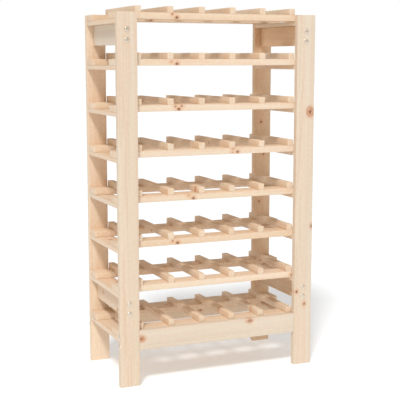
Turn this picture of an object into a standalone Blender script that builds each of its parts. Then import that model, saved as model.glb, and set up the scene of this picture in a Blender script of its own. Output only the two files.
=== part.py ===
"""Free-standing pine wine rack.

Two side frames (posts, side boards and shelf bearers) carry eight slatted shelves.
A front and a back apron tie the frames together near the floor, and hex-socket
connector bolts hold the boards to the posts.

The rack stands on Z = 0, centred on X = 0 and Y = 0, with its front towards -Y.
All lengths are in metres.
"""
import math

import bmesh
import bpy
from mathutils import Vector

# ---- Whole rack -----------------------------------------------------------
RACK_WIDTH = 0.615
RACK_DEPTH = 0.300
RACK_HEIGHT = 1.075            # floor to the top of the top shelf's dividers
GAP = 0.0003                   # clearance between pieces that touch

# ---- Timber sections ------------------------------------------------------
LATH_WIDTH = 0.058             # wide face of posts, boards, rails, bearers and aprons
LATH_THICKNESS = 0.018
BEARER_THICKNESS = 0.012
EDGE_BEVEL = 0.0015
EMBED = 0.001                  # how far a divider sinks into its rails, so they join as one body

# ---- Shelves --------------------------------------------------------------
SHELF_COUNT = 8
SHELF_PITCH = 0.128            # height from one shelf to the next
DIVIDER_COUNT = 6
DIVIDER_PITCH = 0.096
DIVIDER_SETBACK = 0.0005       # divider ends stop this far inside the rails' outer edges

# ---- Side boards and aprons -----------------------------------------------
SIDE_BOARD_LEVELS = (1, 7)     # the shelves, counted from the top, that a side board hangs under
APRON_BOTTOM = 0.1035

# ---- Connector bolts ------------------------------------------------------
BOLT_HEAD_RADIUS = 0.0075
BOLT_HEAD_HEIGHT = 0.0022
BOLT_HEAD_EDGE = 0.0009        # height of the head's dome above its straight rim
BOLT_CROWN_RADIUS = 0.0055     # flat crown in the middle of the head
BOLT_SHANK_RADIUS = 0.0035
HOLE_CLEARANCE = 0.0006        # added to the shank's radius
BOLT_TIP = 0.0020              # length of the chamfered tip
BOLT_GRIP = 0.036              # length of shank inside the board that is pulled in
BOLT_FACETS = 10
BOLT_HEIGHTS = (0.012, 0.041)  # above the lower edge of the board that is pulled in
SOCKET_RADIUS = 0.0024         # hexagon's corner radius
SOCKET_DEPTH = 0.0014

# ---- Derived sizes --------------------------------------------------------
HALF_WIDTH = RACK_WIDTH / 2
HALF_DEPTH = RACK_DEPTH / 2
POST_HEIGHT = RACK_HEIGHT - LATH_THICKNESS     # flush with the top shelf's rails
INNER_FRONT = -HALF_DEPTH + LATH_THICKNESS     # back face of the front posts
INNER_BACK = HALF_DEPTH - LATH_THICKNESS       # front face of the back posts
POST_CENTRE_X = HALF_WIDTH - LATH_WIDTH / 2
POST_CENTRE_Y = HALF_DEPTH - LATH_THICKNESS / 2
SIDES = (("left", -1), ("right", 1))
ENDS = (("front", -1), ("back", 1))


def rail_bottom(level):
    """Height of the underside of a shelf's rails; level 1 is the top shelf."""
    return RACK_HEIGHT - 2 * LATH_THICKNESS - (level - 1) * SHELF_PITCH


def side_board_bottom(level):
    """Height of the lower edge of the side board that hangs under a level's bearer."""
    return rail_bottom(level) - BEARER_THICKNESS - 2 * GAP - LATH_WIDTH


# ---- Scene helpers --------------------------------------------------------
def clear_scene():
    for obj in list(bpy.data.objects):
        bpy.data.objects.remove(obj, do_unlink=True)


def new_collection(name):
    collection = bpy.data.collections.new(name)
    bpy.context.scene.collection.children.link(collection)
    return collection


def make_material(name, colour, roughness, metallic):
    material = bpy.data.materials.new(name)
    material.use_nodes = True
    shader = material.node_tree.nodes["Principled BSDF"]
    shader.inputs["Base Color"].default_value = (*colour, 1.0)
    shader.inputs["Roughness"].default_value = roughness
    shader.inputs["Metallic"].default_value = metallic
    return material


def add_object(name, mesh, collection, material):
    obj = bpy.data.objects.new(name, mesh)
    collection.objects.link(obj)
    if not mesh.materials:
        mesh.materials.append(material)
    return obj


def box_mesh(name, size):
    """A box of the given size, centred on its own origin."""
    bm = bmesh.new()
    bmesh.ops.create_cube(bm, size=1.0)
    bmesh.ops.scale(bm, vec=size, verts=bm.verts)
    mesh = bpy.data.meshes.new(name)
    bm.to_mesh(mesh)
    bm.free()
    return mesh


def add_board(name, low, high, collection, material):
    """A board between two opposite corners, with slightly broken edges."""
    low = Vector(low)
    high = Vector(high)
    board = add_object(name, box_mesh(name, high - low), collection, material)
    board.location = (low + high) / 2
    bevel = board.modifiers.new("broken_edges", "BEVEL")
    bevel.width = EDGE_BEVEL
    bevel.segments = 1
    bevel.limit_method = "ANGLE"
    return board


def hide_as_guide(obj):
    obj.hide_render = True
    obj.display_type = "WIRE"


def bake(obj, name):
    """The object's modified mesh as a plain mesh in the object's own space."""
    bpy.context.view_layer.update()
    depsgraph = bpy.context.evaluated_depsgraph_get()
    mesh = bpy.data.meshes.new_from_object(obj.evaluated_get(depsgraph))
    mesh.name = name
    return mesh


def add_boolean(obj, other, operation):
    modifier = obj.modifiers.new(other.name, "BOOLEAN")
    modifier.operation = operation
    modifier.object = other


# ---- Frame pieces ---------------------------------------------------------
def add_posts(collection, material):
    """Four uprights with their wide faces to the front and back."""
    posts = {}
    for end, end_sign in ENDS:
        for side, side_sign in SIDES:
            centre_x = side_sign * POST_CENTRE_X
            centre_y = end_sign * POST_CENTRE_Y
            low = (centre_x - LATH_WIDTH / 2, centre_y - LATH_THICKNESS / 2, 0.0)
            high = (centre_x + LATH_WIDTH / 2, centre_y + LATH_THICKNESS / 2, POST_HEIGHT)
            posts[end, side] = add_board(f"post_{end}_{side}", low, high, collection, material)
    return posts


def add_side_boards(collection, material):
    """Boards on edge between the front and back posts, on the posts' centre line."""
    boards = {}
    for place, level in zip(("top", "bottom"), SIDE_BOARD_LEVELS):
        bottom = side_board_bottom(level)
        for side, side_sign in SIDES:
            centre_x = side_sign * POST_CENTRE_X
            low = (centre_x - LATH_THICKNESS / 2, INNER_FRONT + GAP, bottom)
            high = (centre_x + LATH_THICKNESS / 2, INNER_BACK - GAP, bottom + LATH_WIDTH)
            boards[place, side] = add_board(f"side_board_{place}_{side}", low, high, collection, material)
    return boards


def add_aprons(collection, material):
    """Boards on edge between the left and right posts, flush with the posts' outer faces."""
    aprons = {}
    half_length = HALF_WIDTH - LATH_WIDTH - GAP
    for end, end_sign in ENDS:
        centre_y = end_sign * POST_CENTRE_Y
        low = (-half_length, centre_y - LATH_THICKNESS / 2, APRON_BOTTOM)
        high = (half_length, centre_y + LATH_THICKNESS / 2, APRON_BOTTOM + LATH_WIDTH)
        aprons[end] = add_board(f"apron_{end}", low, high, collection, material)
    return aprons


def add_bearers(collection, material):
    """A flat strip on each side under every shelf, between the posts."""
    for level in range(1, SHELF_COUNT + 1):
        top = rail_bottom(level) - GAP
        for side, side_sign in SIDES:
            centre_x = side_sign * POST_CENTRE_X
            low = (centre_x - LATH_WIDTH / 2, INNER_FRONT + GAP, top - BEARER_THICKNESS)
            high = (centre_x + LATH_WIDTH / 2, INNER_BACK - GAP, top)
            add_board(f"bearer_{level}_{side}", low, high, collection, material)


# ---- Shelves --------------------------------------------------------------
def shelf_mesh(guides, material):
    """Two rails joined by six dividers that lie across them, with the rails' undersides at Z = 0."""
    rail_outer = -INNER_FRONT - GAP
    divider_outer = rail_outer - DIVIDER_SETBACK
    pieces = []
    for end_sign in (-1, 1):
        edges = sorted((end_sign * rail_outer, end_sign * (rail_outer - LATH_WIDTH)))
        low = (-HALF_WIDTH, edges[0], 0.0)
        high = (HALF_WIDTH, edges[1], LATH_THICKNESS)
        pieces.append(add_board("shelf_rail_guide", low, high, guides, material))
    for index in range(DIVIDER_COUNT):
        centre_x = (index - (DIVIDER_COUNT - 1) / 2) * DIVIDER_PITCH
        low = (centre_x - LATH_THICKNESS / 2, -divider_outer, LATH_THICKNESS - EMBED)
        high = (centre_x + LATH_THICKNESS / 2, divider_outer, 2 * LATH_THICKNESS)
        pieces.append(add_board("shelf_divider_guide", low, high, guides, material))
    # The first rail becomes the template, with its place moved from the object into the mesh.
    template = add_object("shelf_template", bake(pieces[0], "shelf_template"), guides, material)
    template.data.transform(pieces[0].matrix_world)
    for piece in pieces[1:]:
        add_boolean(template, piece, "UNION")
    mesh = bake(template, "shelf")
    for guide in (*pieces, template):
        bpy.data.objects.remove(guide, do_unlink=True)
    return mesh


def add_shelves(collection, guides, material):
    mesh = shelf_mesh(guides, material)
    for level in range(1, SHELF_COUNT + 1):
        shelf = add_object(f"shelf_{level}", mesh, collection, material)
        shelf.location = (0.0, 0.0, rail_bottom(level))


# ---- Connector bolts ------------------------------------------------------
def bolt_mesh(length, guides, material):
    """A flat-headed bolt along Z, with the underside of its head at Z = 0 and its shank below."""
    seat = GAP
    head_top = BOLT_HEAD_HEIGHT
    profile = (
        (0.0, head_top),
        (BOLT_CROWN_RADIUS, head_top),
        (BOLT_HEAD_RADIUS, head_top - BOLT_HEAD_EDGE),
        (BOLT_HEAD_RADIUS, seat),
        (BOLT_SHANK_RADIUS, seat),
        (BOLT_SHANK_RADIUS, BOLT_TIP - length),
        (BOLT_SHANK_RADIUS / 2, -length),
        (0.0, -length),
    )
    outline = bpy.data.meshes.new("bolt_profile")
    points = [(radius, 0.0, height) for radius, height in profile]
    edges = [(index, index + 1) for index in range(len(points) - 1)]
    outline.from_pydata(points, edges, [])
    bolt = add_object("bolt_template", outline, guides, material)
    screw = bolt.modifiers.new("turned", "SCREW")
    screw.axis = "Z"
    screw.angle = 2 * math.pi
    screw.steps = BOLT_FACETS
    screw.render_steps = BOLT_FACETS
    screw.use_merge_vertices = True
    screw.merge_threshold = 0.00001
    bpy.ops.mesh.primitive_cylinder_add(
        vertices=6, radius=SOCKET_RADIUS, depth=2 * SOCKET_DEPTH, location=(0.0, 0.0, head_top)
    )
    socket = bpy.context.object
    add_boolean(bolt, socket, "DIFFERENCE")
    mesh = bake(bolt, f"bolt_{round(length * 1000)}mm")
    for guide in (bolt, socket):
        bpy.data.objects.remove(guide, do_unlink=True)
    return mesh


def add_bolt(name, mesh, place, rotation, length, collection, guides, material):
    """One bolt with its head on a post's outer face, and the cutter of the hole it sits in."""
    bolt = add_object(name, mesh, collection, material)
    bolt.location = place
    bolt.rotation_euler = rotation
    bpy.ops.mesh.primitive_cylinder_add(
        vertices=BOLT_FACETS,
        radius=BOLT_SHANK_RADIUS + HOLE_CLEARANCE,
        depth=2 * (length + GAP),
        location=place,
        rotation=rotation,
    )
    cutter = bpy.context.object
    cutter.name = f"hole_{name}"
    for owner in list(cutter.users_collection):
        owner.objects.unlink(cutter)
    guides.objects.link(cutter)
    hide_as_guide(cutter)
    return cutter


def fasten_side_boards(posts, boards, collection, guides, material):
    """Bolts run through the posts' wide faces into the ends of the side boards."""
    length = LATH_THICKNESS + BOLT_GRIP
    mesh = bolt_mesh(length, guides, material)
    for place, level in zip(("top", "bottom"), SIDE_BOARD_LEVELS):
        bottom = side_board_bottom(level)
        for side, side_sign in SIDES:
            for end, end_sign in ENDS:
                rotation = (-end_sign * math.pi / 2, 0.0, 0.0)
                for row, height in zip(("lower", "upper"), BOLT_HEIGHTS):
                    spot = (side_sign * POST_CENTRE_X, end_sign * HALF_DEPTH, bottom + height)
                    name = f"bolt_{place}_{end}_{side}_{row}"
                    cutter = add_bolt(name, mesh, spot, rotation, length, collection, guides, material)
                    add_boolean(posts[end, side], cutter, "DIFFERENCE")
                    add_boolean(boards[place, side], cutter, "DIFFERENCE")


def fasten_aprons(posts, aprons, collection, guides, material):
    """Bolts run through the posts' narrow outer edges into the ends of the aprons."""
    length = LATH_WIDTH + BOLT_GRIP
    mesh = bolt_mesh(length, guides, material)
    for end, end_sign in ENDS:
        for side, side_sign in SIDES:
            rotation = (0.0, side_sign * math.pi / 2, 0.0)
            for row, height in zip(("lower", "upper"), BOLT_HEIGHTS):
                spot = (side_sign * HALF_WIDTH, end_sign * POST_CENTRE_Y, APRON_BOTTOM + height)
                name = f"bolt_apron_{end}_{side}_{row}"
                cutter = add_bolt(name, mesh, spot, rotation, length, collection, guides, material)
                add_boolean(posts[end, side], cutter, "DIFFERENCE")
                add_boolean(aprons[end], cutter, "DIFFERENCE")


def build():
    clear_scene()
    rack = new_collection("wine_rack")
    guides = new_collection("guides")
    pine_frame = make_material("pine_frame", (0.84, 0.67, 0.48), 0.55, 0.0)
    pine_shelf = make_material("pine_shelf", (0.80, 0.61, 0.41), 0.58, 0.0)
    pine_bearer = make_material("pine_bearer", (0.78, 0.60, 0.42), 0.60, 0.0)
    bolt_steel = make_material("bolt_steel", (0.72, 0.72, 0.74), 0.30, 1.0)
    posts = add_posts(rack, pine_frame)
    boards = add_side_boards(rack, pine_frame)
    aprons = add_aprons(rack, pine_frame)
    add_bearers(rack, pine_bearer)
    add_shelves(rack, guides, pine_shelf)
    fasten_side_boards(posts, boards, rack, guides, bolt_steel)
    fasten_aprons(posts, aprons, rack, guides, bolt_steel)


build()
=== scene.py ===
"""The looks of a free-standing pine wine rack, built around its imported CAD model.

Every lath is rebuilt as its own board with eased edges and its own piece of grain. One pine
material reads the grain's coordinates, the knots and the tint of a board from attributes of
that board's mesh. Lengths are in metres, except in the wood, which is in millimetres, and
where a name ends in _MM.
"""

import math
import random

import bmesh
import bpy
from mathutils import Matrix, Vector


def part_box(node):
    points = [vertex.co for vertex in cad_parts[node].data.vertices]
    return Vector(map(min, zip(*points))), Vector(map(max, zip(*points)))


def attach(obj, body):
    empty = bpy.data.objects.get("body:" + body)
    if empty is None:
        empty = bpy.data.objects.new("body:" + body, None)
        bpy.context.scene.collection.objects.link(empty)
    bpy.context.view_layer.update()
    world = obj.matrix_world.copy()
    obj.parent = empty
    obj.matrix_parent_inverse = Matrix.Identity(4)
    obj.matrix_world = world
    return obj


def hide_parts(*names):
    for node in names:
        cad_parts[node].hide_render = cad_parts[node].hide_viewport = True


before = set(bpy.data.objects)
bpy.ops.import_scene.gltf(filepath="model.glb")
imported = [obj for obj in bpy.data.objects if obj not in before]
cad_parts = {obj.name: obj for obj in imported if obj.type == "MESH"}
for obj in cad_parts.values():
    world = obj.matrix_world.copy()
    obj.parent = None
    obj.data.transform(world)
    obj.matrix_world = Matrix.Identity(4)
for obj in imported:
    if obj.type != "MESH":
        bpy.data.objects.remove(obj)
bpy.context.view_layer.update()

SEED = 4107
MM = 0.001

# ---- Sizes repeated from the CAD -------------------------------------------
SHELF_COUNT = 8
DIVIDER_COUNT = 6
DIVIDER_PITCH = 0.096
LATH_WIDTH = 0.058
LATH_THICKNESS = 0.018
DIVIDER_SETBACK = 0.0005
SIDES = ("left", "right")
ENDS = ("front", "back")

# ---- Boards ----------------------------------------------------------------
EDGE_RADIUS = 0.0010
EDGE_SEGMENTS = 3
SLICE_LENGTH = 0.04            # a board's mesh is cut across about this often
RAIL_BOW = 0.000125            # the most that a rail strays from straight
BOARD_SHARP = math.radians(35)
LOG_REACH_MM = (28, 75)        # how far from the pith a board was sawn
LOG_LENGTH_MM = 4000
SKEW = 0.4                     # the most, in degrees, that a board's grain runs askew

# ---- Bolt heads ------------------------------------------------------------
HEAD_RADIUS = 0.0075
HEAD_HEIGHT = 0.0022
SOCKET_RADIUS = 0.0025
SOCKET_DEPTH = 0.0015
HEAD_SIDES = 48
HEAD_SHARP = math.radians(40)
# The dome from its foot to its flat top, as shares of the head's radius and height.
HEAD_PROFILE = ((1, 0), (1, 0.25), (0.95, 0.52), (0.85, 0.75), (0.69, 0.92), (0.52, 1))

# ---- Lights and floor ------------------------------------------------------
SKY_LIGHT = 0.47
SKY_TONE = (1.0, 0.955, 0.895, 1.0)
LIGHT_TARGET = (0.0, 0.0, 0.55)
KEY_PLACE = (-2.0, -3.0, 4.7)
KEY_SPREAD = math.radians(10.0)
KEY_STRENGTH = 1.9
FILL_PLACE = (2.6, -2.2, 2.4)
FILL_SIZE = 1.8
FILL_WATTS = 6.0
FLOOR_HALF = 30.0
FLOOR_DROP = 0.0002            # keeps the floor clear of the posts' lower ends
FLOOR_GLOW = 0.24

# ---- Camera ----------------------------------------------------------------
CAMERA_PLACE = (-1.1679, -2.7257, 0.9269)
CAMERA_YAW = math.radians(-23.225)
CAMERA_PITCH = math.radians(90.0 - 8.097)
CAMERA_LENS = 88.69
SENSOR_WIDTH = 36.0


# ---- Node helpers ----------------------------------------------------------
class Nodes:
    """Short ways to add nodes to one tree. A value is a number, a tuple or another's output."""

    def __init__(self, tree):
        self.tree = tree

    def add(self, kind, **settings):
        node = self.tree.nodes.new(kind)
        for name, value in settings.items():
            setattr(node, name, value)
        return node

    def link(self, value, socket):
        if isinstance(value, bpy.types.NodeSocket):
            self.tree.links.new(value, socket)
        else:
            socket.default_value = value

    def math(self, operation, *values):
        node = self.add("ShaderNodeMath", operation=operation)
        for value, socket in zip(values, node.inputs):
            self.link(value, socket)
        return node.outputs[0]

    def times(self, first, second):
        return self.math("MULTIPLY", first, second)

    def plus(self, first, second):
        return self.math("ADD", first, second)

    def minus(self, first, second):
        return self.math("SUBTRACT", first, second)

    def vector(self, operation, *values):
        node = self.add("ShaderNodeVectorMath", operation=operation)
        for value, socket in zip(values, node.inputs):
            self.link(value, socket)
        return node.outputs["Value" if operation == "LENGTH" else "Vector"]

    def scaled(self, vector, *factors):
        return self.vector("MULTIPLY", vector, factors)

    def ramp(self, value, low, high, to_low=0.0, to_high=1.0, smooth=True):
        node = self.add("ShaderNodeMapRange")
        if smooth:
            node.interpolation_type = "SMOOTHSTEP"
        for value_in, socket in zip((value, low, high, to_low, to_high), node.inputs):
            self.link(value_in, socket)
        return node.outputs[0]

    def noise(self, vector, scale, detail=2.0, roughness=0.5):
        node = self.add("ShaderNodeTexNoise")
        self.link(vector, node.inputs["Vector"])
        node.inputs["Scale"].default_value = scale
        node.inputs["Detail"].default_value = detail
        node.inputs["Roughness"].default_value = roughness
        return node.outputs["Fac"]

    def mix(self, factor, first, second, blend="MIX"):
        node = self.add("ShaderNodeMix", data_type="RGBA", blend_type=blend)
        self.link(factor, node.inputs[0])
        self.link(first, node.inputs[6])
        self.link(second, node.inputs[7])
        return node.outputs[2]

    def bump(self, height, strength, shader):
        node = self.add("ShaderNodeBump")
        node.inputs["Strength"].default_value = strength
        node.inputs["Distance"].default_value = MM
        self.link(height, node.inputs["Height"])
        self.link(node.outputs["Normal"], shader.inputs["Normal"])

    def attribute(self, name):
        return self.add("ShaderNodeAttribute", attribute_name=name)

    def split(self, vector):
        node = self.add("ShaderNodeSeparateXYZ")
        self.link(vector, node.inputs[0])
        return node.outputs

    def join(self, x, y, z):
        node = self.add("ShaderNodeCombineXYZ")
        for value, socket in zip((x, y, z), node.inputs):
            self.link(value, socket)
        return node.outputs[0]


def colour(hex_code):
    """An sRGB hex colour as a linear RGBA."""
    channels = [int(hex_code[i : i + 2], 16) / 255 for i in (0, 2, 4)]
    linear = [c / 12.92 if c <= 0.04045 else ((c + 0.055) / 1.055) ** 2.4 for c in channels]
    return (*linear, 1.0)


def new_material(name):
    material = bpy.data.materials.new(name)
    material.use_nodes = True
    nodes = Nodes(material.node_tree)
    shader = material.node_tree.nodes["Principled BSDF"]
    return material, nodes, shader


# ---- Wood ------------------------------------------------------------------
# Lengths here are in millimetres, and a share of 1 is a knot's edge.
KNOT_SLOTS = 4
NO_KNOT = (0.0, 0.0, 0.0, 0.0, "through")
KNOT_LEAST_RADIUS = 0.1
KNOT_LONG = 0.8                # distances along the grain count this much
KNOT_WANDER = 0.7              # how far its outline strays, as a share
KNOT_RIM = 0.35                # half the width of its dark rim, as a share
KNOT_PUSH = 1.4                # how far it pushes the rings aside, in radii
KNOT_LIVE_RADII = (4.0, 6.5)   # between these a knot turns from dead and dark to live and pale
HALO_WIDTH = 10.0
# How fast a knot fades across a board and through it, by the way that its branch ran.
KNOT_FADE = {"through": (1.0, 0.15), "across": (0.15, 1.0)}

WIDE_MM = 30                   # a board wider than this has more knots by chance
WIDE_KNOT_RADII = (2.2, 4.5)
NARROW_KNOT_RADII = (1.5, 2.6)

RING_SPACING = 3.8
RING_BEND = 11.0               # how far rings stray from a circle over a board's length
RING_UNEVEN = 2.4              # how far their spacing strays, in rings

TONES = {
    "pale": "F2E1CB",
    "honey": "EFD5B9",
    "blush": "EFCCAE",
    "straw": "EDDCB6",
    "warm": "EAC6A0",
    "grey": "EADECD",
    "late wood": "CB9A6C",
    "fibre": "D6AC84",
    "canal": "A8794F",
    "halo": "E0A579",
    "rim": "8A4E2F",
    "dead knot, dark": "5C3420",
    "dead knot, light": "8E5738",
    "live knot, dark": "CC8A5E",
    "live knot, light": "DDA27A",
    "worn edge": "F6E9D6",
    "plating and painted reflection": "EEE3D3",
    "tarnish": "DFD2C1",
    "turning mark": "C3B6A4",
    "floor, bright": "F4F8FC",
    "floor, dull": "F1F5FA",
}


def tone(name):
    return colour(TONES[name])


def knot_fields(n, board):
    """What a board's knots add to its wood, as six fields.

    They are the wander of the knots' outlines, their core, dark rim and halo, how live they are,
    and how far they push the rings aside.
    """
    wander = n.noise(n.scaled(board, 0.25, 0.25, 0.25), 1.0, 2.0)
    wander = n.times(n.minus(wander, 0.5), KNOT_WANDER)
    core = rim = halo = live = push = 0.0
    for index in range(1, KNOT_SLOTS + 1):
        place = n.attribute(f"knot_{index}").outputs["Vector"]
        radius, fade_y, fade_z = n.split(n.attribute(f"form_{index}").outputs["Vector"])
        offset = n.vector("SUBTRACT", board, place)
        fades = n.join(KNOT_LONG, fade_y, fade_z)
        away = n.vector("LENGTH", n.vector("MULTIPLY", offset, fades))
        there = n.math("GREATER_THAN", radius, KNOT_LEAST_RADIUS)
        least = n.math("MAXIMUM", radius, KNOT_LEAST_RADIUS)
        share = n.plus(n.math("DIVIDE", away, least), wander)
        beyond = n.minus(share, 1.0)

        middle = n.ramp(share, 0.7, 1.05, 1.0, 0.0)
        core = n.math("MAXIMUM", core, n.times(middle, there))
        ring = n.ramp(n.math("ABSOLUTE", beyond), 0.0, KNOT_RIM, 1.0, 0.0)
        rim = n.math("MAXIMUM", rim, n.times(ring, there))
        stain = n.ramp(n.times(beyond, radius), 0.0, HALO_WIDTH, 1.0, 0.0)
        halo = n.math("MAXIMUM", halo, n.times(stain, there))
        pull = n.math("EXPONENT", n.times(n.times(share, share), -0.2))
        bulge = n.times(n.times(pull, radius), KNOT_PUSH)
        push = n.plus(push, n.times(bulge, there))
        disc = n.times(n.ramp(share, 0.25, 0.55), n.ramp(share, 1.2, 1.6, 1.0, 0.0))
        live = n.math("MAXIMUM", live, n.times(n.ramp(radius, *KNOT_LIVE_RADII), disc))
    return wander, core, rim, halo, live, push


def growth_rings(n, log, push):
    """Distance from the pith, and the dark late wood of the rings that it crosses."""
    _, log_y, log_z = n.split(log)
    slow = n.noise(n.scaled(log, 0.0022, 0.022, 0.022), 1.0, 2.0)
    bend = n.times(n.minus(slow, 0.5), RING_BEND)
    pith = n.vector("LENGTH", n.join(0.0, log_y, log_z))
    depth = n.plus(n.plus(pith, bend), push)
    uneven = n.noise(n.join(depth, 0.0, 0.0), 0.09, 1.0)
    uneven = n.times(n.minus(uneven, 0.5), RING_UNEVEN)
    age = n.math("FRACT", n.plus(n.math("DIVIDE", depth, RING_SPACING), uneven))
    late = n.times(n.ramp(age, 0.30, 0.88), n.ramp(age, 0.90, 1.0, 1.0, 0.0))
    patch = n.noise(n.scaled(log, 0.0012, 0.04, 0.04), 1.0, 1.0)
    return pith, n.times(late, n.ramp(patch, 0.3, 0.75, 0.25, 1.0))


def pine_material():
    """Planed pine, which reads a board's attributes.

    They are board_mm, log_mm, tint, end_face, eased, and for each knot its place and its form.
    """
    material, n, shader = new_material("pine")
    board = n.attribute("board_mm").outputs["Vector"]
    log = n.attribute("log_mm").outputs["Vector"]
    warm, dark, grey = n.split(n.attribute("tint_and_painted_light").outputs["Vector"])
    end_face = n.attribute("end_face").outputs["Fac"]
    eased = n.attribute("eased").outputs["Fac"]
    wander, core, rim, halo, live, push = knot_fields(n, board)
    pith, late = growth_rings(n, log, push)

    # Fibres, resin canals and broad streaks: noise drawn out along the grain. Its three scales
    # are along, across and through the log, and the smaller the scale, the longer the marks.
    fibre = n.noise(n.scaled(log, 0.008, 1.1, 1.1), 1.0, 3.0, 0.6)
    canal = n.ramp(n.noise(n.scaled(log, 0.05, 1.7, 1.7), 1.0, 1.0), 0.70, 0.78)
    streak = n.noise(n.scaled(log, 0.0010, 0.06, 0.06), 1.0, 2.0)
    blush = n.noise(n.scaled(log, 0.0012, 0.05, 0.05), 1.7, 2.0)
    cloud = n.noise(n.scaled(log, 0.003, 0.02, 0.02), 1.0, 2.0)

    base = n.mix(n.ramp(streak, 0.30, 0.70), tone("pale"), tone("honey"))
    base = n.mix(n.ramp(blush, 0.48, 0.66, 0.0, 0.60), base, tone("blush"))
    base = n.mix(n.ramp(blush, 0.32, 0.46, 0.42, 0.0), base, tone("straw"))
    # The tint's warmth is partly the board's own tone and partly painted warm bounce light on the
    # two boards in the shade at the upper right.
    base = n.mix(n.times(warm, 0.45), base, tone("warm"))
    base = n.mix(n.times(grey, 0.60), base, tone("grey"))
    late_share = n.ramp(end_face, 0.0, 1.0, 0.19, 0.30)
    base = n.mix(n.times(late, late_share), base, tone("late wood"))
    base = n.mix(n.ramp(fibre, 0.40, 0.75, 0.0, 0.10), base, tone("fibre"))
    base = n.mix(n.times(canal, 0.16), base, tone("canal"))

    # Knots: an orange halo, a dark rim, and rings of the branch's own inside.
    base = n.mix(n.times(halo, 0.62), base, tone("halo"))
    rim_share = n.ramp(live, 0.0, 1.0, 0.60, 0.32)
    base = n.mix(n.times(rim, rim_share), base, tone("rim"))
    knot_age = n.math("FRACT", n.times(n.plus(pith, wander), 0.9))
    dead_wood = n.mix(knot_age, tone("dead knot, dark"), tone("dead knot, light"))
    live_wood = n.mix(knot_age, tone("live knot, dark"), tone("live knot, light"))
    base = n.mix(n.times(core, 0.88), base, n.mix(live, dead_wood, live_wood))

    worn = n.times(eased, n.ramp(n.noise(board, 0.12, 2.0), 0.4, 0.7))
    base = n.mix(n.times(worn, 0.25), base, tone("worn edge"))
    # Darker by the tint's darkness, which is painted shade on the front posts, the front apron and
    # the top left side board, and painted light on the top right side board where it is below
    # zero; and darker at random by the cloud noise.
    shade = n.minus(1.0, n.plus(n.times(dark, 0.10), n.times(cloud, 0.06)))
    base = n.mix(1.0, base, n.join(shade, shade, shade), "MULTIPLY")
    n.link(base, shader.inputs["Base Color"])

    rough = n.ramp(fibre, 0.3, 0.7, 0.52, 0.60)
    rough = n.minus(rough, n.times(late, 0.06))
    rough = n.minus(rough, n.times(core, 0.14))
    rough = n.plus(rough, n.times(end_face, 0.20))
    n.link(n.plus(rough, n.times(worn, 0.06)), shader.inputs["Roughness"])

    # The height is in millimetres: late wood stands up, canals and the rims of knots lie low.
    height = n.times(late, 0.02)
    height = n.plus(height, n.times(fibre, 0.03))
    height = n.minus(height, n.times(canal, 0.04))
    height = n.minus(height, n.times(rim, 0.08))
    height = n.plus(height, n.times(core, 0.06))
    n.bump(height, 0.6, shader)
    shader.inputs["IOR"].default_value = 1.45
    shader.inputs["Specular IOR Level"].default_value = 0.32
    return material


def plating_material():
    """Plated steel with faint turning marks and a little tarnish."""
    material, n, shader = new_material("plated_steel")
    place = n.attribute("board_mm").outputs["Vector"]
    x, y, z = n.split(place)
    turned = n.noise(n.join(n.vector("LENGTH", n.join(x, y, 0.0)), z, 0.0), 6.0, 2.0)
    tarnish = n.noise(place, 0.35, 3.0)
    # The plating's warm tone is partly painted reflection of the wood around the heads.
    base = n.mix(n.ramp(tarnish, 0.35, 0.75), tone("plating and painted reflection"), tone("tarnish"))
    base = n.mix(n.times(turned, 0.25), base, tone("turning mark"))
    n.link(base, shader.inputs["Base Color"])
    n.link(n.ramp(turned, 0.3, 0.7, 0.26, 0.42), shader.inputs["Roughness"])
    n.bump(n.times(turned, 0.03), 0.35, shader)
    shader.inputs["Metallic"].default_value = 0.9
    return material


def floor_material():
    """A matt floor that glows a little, so that it is nearly as white as the backdrop."""
    material, n, shader = new_material("studio_floor")
    where = n.add("ShaderNodeTexCoord").outputs["Object"]
    base = n.mix(n.noise(where, 1.5, 2.0), tone("floor, bright"), tone("floor, dull"))
    n.link(base, shader.inputs["Base Color"])
    shader.inputs["Roughness"].default_value = 0.9
    shader.inputs["Specular IOR Level"].default_value = 0.1
    shader.inputs["Emission Color"].default_value = (1.0, 1.0, 1.0, 1.0)
    shader.inputs["Emission Strength"].default_value = FLOOR_GLOW
    return material


# ---- Boards ----------------------------------------------------------------
def set_vectors(mesh, name, values):
    """Give each vertex of a mesh a vector, for a material to read."""
    attribute = mesh.attributes.new(name, "FLOAT_VECTOR", "POINT")
    flat = [component for value in values for component in value]
    attribute.data.foreach_set("vector", flat)


def board_knots(name, size, rng):
    """A board's knots: those that are seen, or else a few where chance puts them."""
    if name in SEEN_KNOTS:
        return list(SEEN_KNOTS[name])
    length, width = size[0] / MM, size[1] / MM
    wide = width > WIDE_MM
    count = rng.choice((0, 1, 1, 2)) if wide else rng.choice((0, 0, 0, 1))
    knots = []
    for _ in range(count):
        run = "through" if wide else rng.choice(("through", "across"))
        place = (rng.uniform(-0.44, 0.44) * length, rng.uniform(-0.4, 0.4) * width, 0.0)
        radius = rng.uniform(*(WIDE_KNOT_RADII if wide else NARROW_KNOT_RADII))
        knots.append((*place, radius, run))
    return knots


def sort_by_place(elements, centre):
    """Put a bmesh's vertices, edges or faces in order of place.

    A plane cut leaves them in an order that changes from run to run.
    """
    ranked = sorted(elements, key=lambda element: [round(value, 6) for value in centre(element)])
    for rank, element in enumerate(ranked):
        element.index = rank
    elements.sort()


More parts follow.
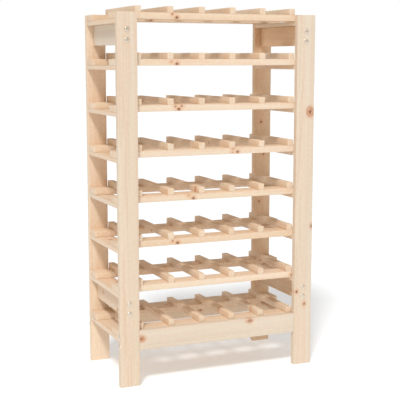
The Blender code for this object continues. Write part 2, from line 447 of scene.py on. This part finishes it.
def board_mesh(size, axis):
    """A box with eased edges, cut across now and then so that it can bow."""
    bm = bmesh.new()
    bmesh.ops.create_cube(bm, size=1.0)
    bmesh.ops.scale(bm, vec=size, verts=bm.verts)
    bmesh.ops.bevel(
        bm,
        geom=bm.edges[:],
        offset=EDGE_RADIUS,
        segments=EDGE_SEGMENTS,
        profile=0.5,
        affect="EDGES",
    )
    normal = Vector([1.0 if i == axis else 0.0 for i in range(3)])
    slices = int(size[axis] / SLICE_LENGTH)
    for index in range(1, slices):
        spot = normal * (size[axis] * (index / slices - 0.5))
        geom = bm.verts[:] + bm.edges[:] + bm.faces[:]
        bmesh.ops.bisect_plane(bm, geom=geom, plane_co=spot, plane_no=normal)
    sort_by_place(bm.verts, lambda vert: vert.co)
    sort_by_place(bm.edges, lambda edge: edge.verts[0].co + edge.verts[1].co)
    sort_by_place(bm.faces, lambda face: face.calc_center_median())
    return bm


def add_board(name, low, high, axis, nodes, slot):
    """A lath between two corners with its grain along an axis, standing for CAD nodes.

    In board_mm x runs along the grain, y across the wide face and z through the thickness.
    """
    rng = random.Random(f"{SEED}{name}")
    low = Vector(low)
    high = Vector(high)
    size = high - low
    # Rounded, so that the square section of a divider always gives its X as the width.
    others = sorted((i for i in range(3) if i != axis), key=lambda i: -round(size[i], 5))
    order = (axis, *others)
    bm = board_mesh(size, axis)

    board_mm = [Vector([v.co[i] for i in order]) / MM for v in bm.verts]
    half = [size[i] / 2 for i in order]
    flat_half = [value - EDGE_RADIUS * 1.01 for value in half]
    # A vertex off the flat of two sides or more is on an eased edge or corner.
    eased = []
    end_face = []
    for co in board_mm:
        outside = sum(abs(co[i]) * MM > flat_half[i] + 1e-6 for i in range(3))
        eased.append(1.0 if outside >= 2 else 0.0)
        end_face.append(1.0 if abs(co[0]) * MM > half[0] - EDGE_RADIUS * 0.5 else 0.0)

    # Where in the log the board was sawn: beside the pith, a little askew, somewhere along it.
    angle = rng.uniform(0, 2 * math.pi)
    reach = rng.uniform(*LOG_REACH_MM)
    along = rng.uniform(0, LOG_LENGTH_MM)
    pith = Vector((along, reach * math.cos(angle), reach * math.sin(angle)))
    skew = Matrix.Rotation(math.radians(rng.uniform(-SKEW, SKEW)), 3, "Z")
    skew = skew @ Matrix.Rotation(math.radians(rng.uniform(-SKEW, SKEW)), 3, "Y")
    log_mm = [skew @ co + pith for co in board_mm]

    bow = rng.uniform(-RAIL_BOW, RAIL_BOW)
    if name.startswith("rail"):
        for vert in bm.verts:
            share = vert.co[axis] / half[0]
            vert.co[order[2]] += bow * (1 - share * share)

    mesh = bpy.data.meshes.new(name)
    bm.to_mesh(mesh)
    bm.free()
    count = len(mesh.vertices)
    set_vectors(mesh, "board_mm", board_mm)
    set_vectors(mesh, "log_mm", log_mm)
    # Chance tints the boards that have no place in SEEN_TINTS_AND_PAINTED_LIGHT.
    chance = (rng.random(), 0.5 * rng.random(), 0.3 * rng.random())
    tint_and_painted_light = SEEN_TINTS_AND_PAINTED_LIGHT.get(name, chance)
    set_vectors(mesh, "tint_and_painted_light", [tint_and_painted_light] * count)
    for key, values in (("eased", eased), ("end_face", end_face)):
        attribute = mesh.attributes.new(key, "FLOAT", "POINT")
        attribute.data.foreach_set("value", values)
    knots = board_knots(name, [2 * value for value in half], rng)
    knots += [NO_KNOT] * (KNOT_SLOTS - len(knots))
    for index, (x, y, z, radius, run) in enumerate(knots, 1):
        set_vectors(mesh, f"knot_{index}", [(x, y, z)] * count)
        set_vectors(mesh, f"form_{index}", [(radius, *KNOT_FADE[run])] * count)
    mesh.materials.append(PINE)
    for polygon in mesh.polygons:
        polygon.use_smooth = True
    mesh.set_sharp_from_angle(angle=BOARD_SHARP)
    board = bpy.data.objects.new(name, mesh)
    board.location = (low + high) / 2
    bpy.context.scene.collection.objects.link(board)
    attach(board, "root")
    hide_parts(*nodes)


# How warm, how dark and how grey a board is, where that shows. Most run from 0 to 1. Part of this
# is the board's own tone and part is painted light. The darkness of the front posts, the front
# apron and the top left side board is painted shade that tones down their brightly lit faces. The
# two warmest, the back right post and the top right side board, go further to paint the warm
# bounce light of the shade that they lie in, and the board that lies in the deepest shade is
# lightened to make up for it.
SEEN_TINTS_AND_PAINTED_LIGHT = {
    "front_left_post": (0.0, 0.9, 0.3),
    "front_right_post": (0.0, 0.9, 0.6),
    "back_left_post": (0.4, 0.0, 0.2),
    "back_right_post": (1.8, 0.4, 0.0),
    "front_apron": (0.0, 0.9, 1.0),
    "rail_7_front": (0.2, 0.0, 0.3),
    "bottom_right_side_board": (1.0, 0.8, 0.0),
    "top_right_side_board": (1.8, -0.6, 0.0),
    "top_left_side_board": (0.0, 0.9, 1.0),
}

# Knots that show, as (x, y, z, radius, run) in board_mm: x runs up a post, rightwards along a rail
# or the apron, and backwards along a divider. A front rail's front edge is at y = -29, and a
# divider's left face is at y = -9.
SEEN_KNOTS = {
    "front_left_post": [],
    "back_left_post": [],
    "top_left_side_board": [],
    "top_right_side_board": [],
    "front_right_post": [
        (245, 16, 0, 11.0, "through"),
        (-100, 28, 0, 4.5, "through"),
        (-300, -22, 0, 3.2, "through"),
        (-340, 5, 0, 3.3, "through"),
    ],
    "back_right_post": [
        (95, 5, 0, 2.5, "through"),
        (200, -5, 0, 3.0, "through"),
        (-60, -10, 0, 2.5, "through"),
    ],
    "rail_1_front": [(-125, -29, -4, 3.6, "across"), (-138, -29, 5, 2.0, "across")],
    "rail_1_back": [(-125, -29, -2, 3.4, "across")],
    "rail_2_front": [(-125, -29, -4, 3.4, "across"), (-142, -29, 2, 1.0, "across")],
    "rail_3_front": [
        (-120, -29, -3, 3.6, "across"),
        (-111, -29, 5, 2.2, "across"),
        (-130, -29, 4, 2.0, "across"),
    ],
    "rail_4_front": [
        (65, -29, -3, 3.4, "across"),
        (50, -29, 6, 1.4, "across"),
        (48, -29, -4, 1.4, "across"),
    ],
    "rail_5_front": [(-75, -29, -4, 3.6, "across"), (-90, -29, 5, 1.2, "across")],
    "rail_6_front": [(-125, -29, -3, 3.6, "across"), (-140, -29, 3, 1.6, "across")],
    "rail_7_front": [(248, -29, -2, 2.8, "across")],
    "rail_8_front": [],
    "front_apron": [
        (-245, 5, 0, 8.0, "through"),
        (100, 22, 0, 5.4, "through"),
        (90, 22, 0, 1.2, "through"),
    ],
    "divider_4_4": [(20, -9, -7, 2.2, "across")],
    "divider_6_2": [(10, -9, -7, 2.2, "across")],
    "divider_7_6": [(45, -9, -7, 2.6, "across")],
}

PINE = pine_material()
PLATING = plating_material()

for end in ENDS:
    for side in SIDES:
        node = f"post_{end}_{side}"
        add_board(f"{end}_{side}_post", *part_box(node), 2, [node], "pine_frame")
    node = f"apron_{end}"
    add_board(f"{end}_apron", *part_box(node), 0, [node], "pine_frame")
for place in ("top", "bottom"):
    for side in SIDES:
        node = f"side_board_{place}_{side}"
        add_board(f"{place}_{side}_side_board", *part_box(node), 1, [node], "pine_frame")
for level in range(1, SHELF_COUNT + 1):
    for side in SIDES:
        node = f"bearer_{level}_{side}"
        add_board(f"{side}_bearer_{level}", *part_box(node), 1, [node], "pine_bearer")

for level in range(1, SHELF_COUNT + 1):
    node = f"shelf_{level}"
    low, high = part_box(node)
    rail_top = low.z + LATH_THICKNESS
    front_far = (high.x, low.y + LATH_WIDTH, rail_top)
    add_board(f"rail_{level}_front", low, front_far, 0, [node], "pine_shelf")
    back_near = (low.x, high.y - LATH_WIDTH, low.z)
    back_far = (high.x, high.y, rail_top)
    add_board(f"rail_{level}_back", back_near, back_far, 0, [node], "pine_shelf")
    for index in range(DIVIDER_COUNT):
        x = (index - (DIVIDER_COUNT - 1) / 2) * DIVIDER_PITCH
        corner = (x - LATH_THICKNESS / 2, low.y + DIVIDER_SETBACK, rail_top)
        opposite = (x + LATH_THICKNESS / 2, high.y - DIVIDER_SETBACK, high.z)
        add_board(f"divider_{level}_{index + 1}", corner, opposite, 1, [node], "pine_shelf")


# ---- Bolt heads ------------------------------------------------------------
def head_mesh():
    """A domed head with a hexagon socket, its underside at Z = 0."""
    bm = bmesh.new()
    rings = []
    angles = [2 * math.pi * index / HEAD_SIDES for index in range(HEAD_SIDES)]
    for width, rise in HEAD_PROFILE:
        radius = HEAD_RADIUS * width
        height = HEAD_HEIGHT * rise
        ring = [(radius * math.cos(angle), radius * math.sin(angle), height) for angle in angles]
        rings.append([bm.verts.new(place) for place in ring])
    # The socket's mouth and its floor.
    for height in (HEAD_HEIGHT, HEAD_HEIGHT - SOCKET_DEPTH):
        ring = []
        for angle in angles:
            # The distance to a hexagon's side in this direction.
            turn = (angle + math.pi / 6) % (math.pi / 3) - math.pi / 6
            reach = SOCKET_RADIUS * math.cos(math.pi / 6) / math.cos(turn)
            ring.append(bm.verts.new((reach * math.cos(angle), reach * math.sin(angle), height)))
        rings.append(ring)
    for lower, upper in zip(rings, rings[1:]):
        for index in range(HEAD_SIDES):
            after = (index + 1) % HEAD_SIDES
            bm.faces.new((lower[index], lower[after], upper[after], upper[index]))
    bm.faces.new(rings[-1])
    bm.faces.new(reversed(rings[0]))
    bmesh.ops.recalc_face_normals(bm, faces=bm.faces)
    mesh = bpy.data.meshes.new("bolt_head")
    places = [v.co / MM for v in bm.verts]
    bm.to_mesh(mesh)
    bm.free()
    set_vectors(mesh, "board_mm", places)
    mesh.materials.append(PLATING)
    for polygon in mesh.polygons:
        polygon.use_smooth = True
    mesh.set_sharp_from_angle(angle=HEAD_SHARP)
    return mesh


HEAD = head_mesh()
for node in sorted(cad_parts):
    if not node.startswith("bolt_"):
        continue
    low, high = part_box(node)
    rng = random.Random(f"{SEED}{node}")
    # A bolt runs along its longest side, and its head is at the end further from the middle.
    size = high - low
    axis = max(range(3), key=lambda i: size[i])
    outwards = 1 if (low + high)[axis] > 0 else -1
    direction = Vector([outwards if i == axis else 0 for i in range(3)])
    tip = high[axis] if outwards > 0 else low[axis]
    seat = (low + high) / 2
    seat[axis] = tip - outwards * HEAD_HEIGHT
    head = bpy.data.objects.new(node.replace("bolt_", "head_", 1), HEAD)
    turn = direction.to_track_quat("Z", "Y").to_matrix().to_4x4()
    spin = Matrix.Rotation(rng.uniform(0, math.pi / 3), 4, "Z")
    head.matrix_world = Matrix.Translation(seat) @ turn @ spin
    bpy.context.scene.collection.objects.link(head)
    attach(head, "root")
    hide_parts(node)


# ---- Stage -----------------------------------------------------------------
def add_light(name, kind, place, strength):
    light = bpy.data.lights.new(name, kind)
    light.energy = strength
    lamp = bpy.data.objects.new(name, light)
    lamp.location = place
    aim = Vector(LIGHT_TARGET) - Vector(place)
    lamp.rotation_euler = aim.to_track_quat("-Z", "Y").to_euler()
    bpy.context.scene.collection.objects.link(lamp)
    return light


floor_data = bpy.data.meshes.new("floor")
corners = [(-FLOOR_HALF, -FLOOR_HALF, 0), (FLOOR_HALF, -FLOOR_HALF, 0)]
corners += [(FLOOR_HALF, FLOOR_HALF, 0), (-FLOOR_HALF, FLOOR_HALF, 0)]
floor_data.from_pydata(corners, [], [(0, 1, 2, 3)])
floor_data.materials.append(floor_material())
floor = bpy.data.objects.new("floor", floor_data)
floor.location.z = -FLOOR_DROP
bpy.context.scene.collection.objects.link(floor)

world = bpy.data.worlds.new("studio")
world.use_nodes = True
sky = Nodes(world.node_tree)
background = world.node_tree.nodes["Background"]
# The backdrop is white to the camera, and lights the rack less, and warmer.
seen = sky.add("ShaderNodeLightPath").outputs["Is Camera Ray"]
white = (1.0, 1.0, 1.0, 1.0)
sky.link(sky.mix(seen, SKY_TONE, white), background.inputs["Color"])
strength = sky.ramp(seen, 0.0, 1.0, SKY_LIGHT, 1.0, smooth=False)
sky.link(strength, background.inputs["Strength"])
bpy.context.scene.world = world
key = add_light("key", "SUN", KEY_PLACE, KEY_STRENGTH)
key.angle = KEY_SPREAD
fill = add_light("fill", "AREA", FILL_PLACE, FILL_WATTS)
fill.shape = "DISK"
fill.size = FILL_SIZE

bpy.context.scene.view_settings.view_transform = "Standard"

camera_data = bpy.data.cameras.new("camera")
camera_data.sensor_width = SENSOR_WIDTH
camera_data.lens = CAMERA_LENS
camera = bpy.data.objects.new("camera", camera_data)
camera.location = CAMERA_PLACE
camera.rotation_euler = (CAMERA_PITCH, 0.0, CAMERA_YAW)
bpy.context.scene.collection.objects.link(camera)
bpy.context.scene.camera = camera

bpy.context.view_layer.update()
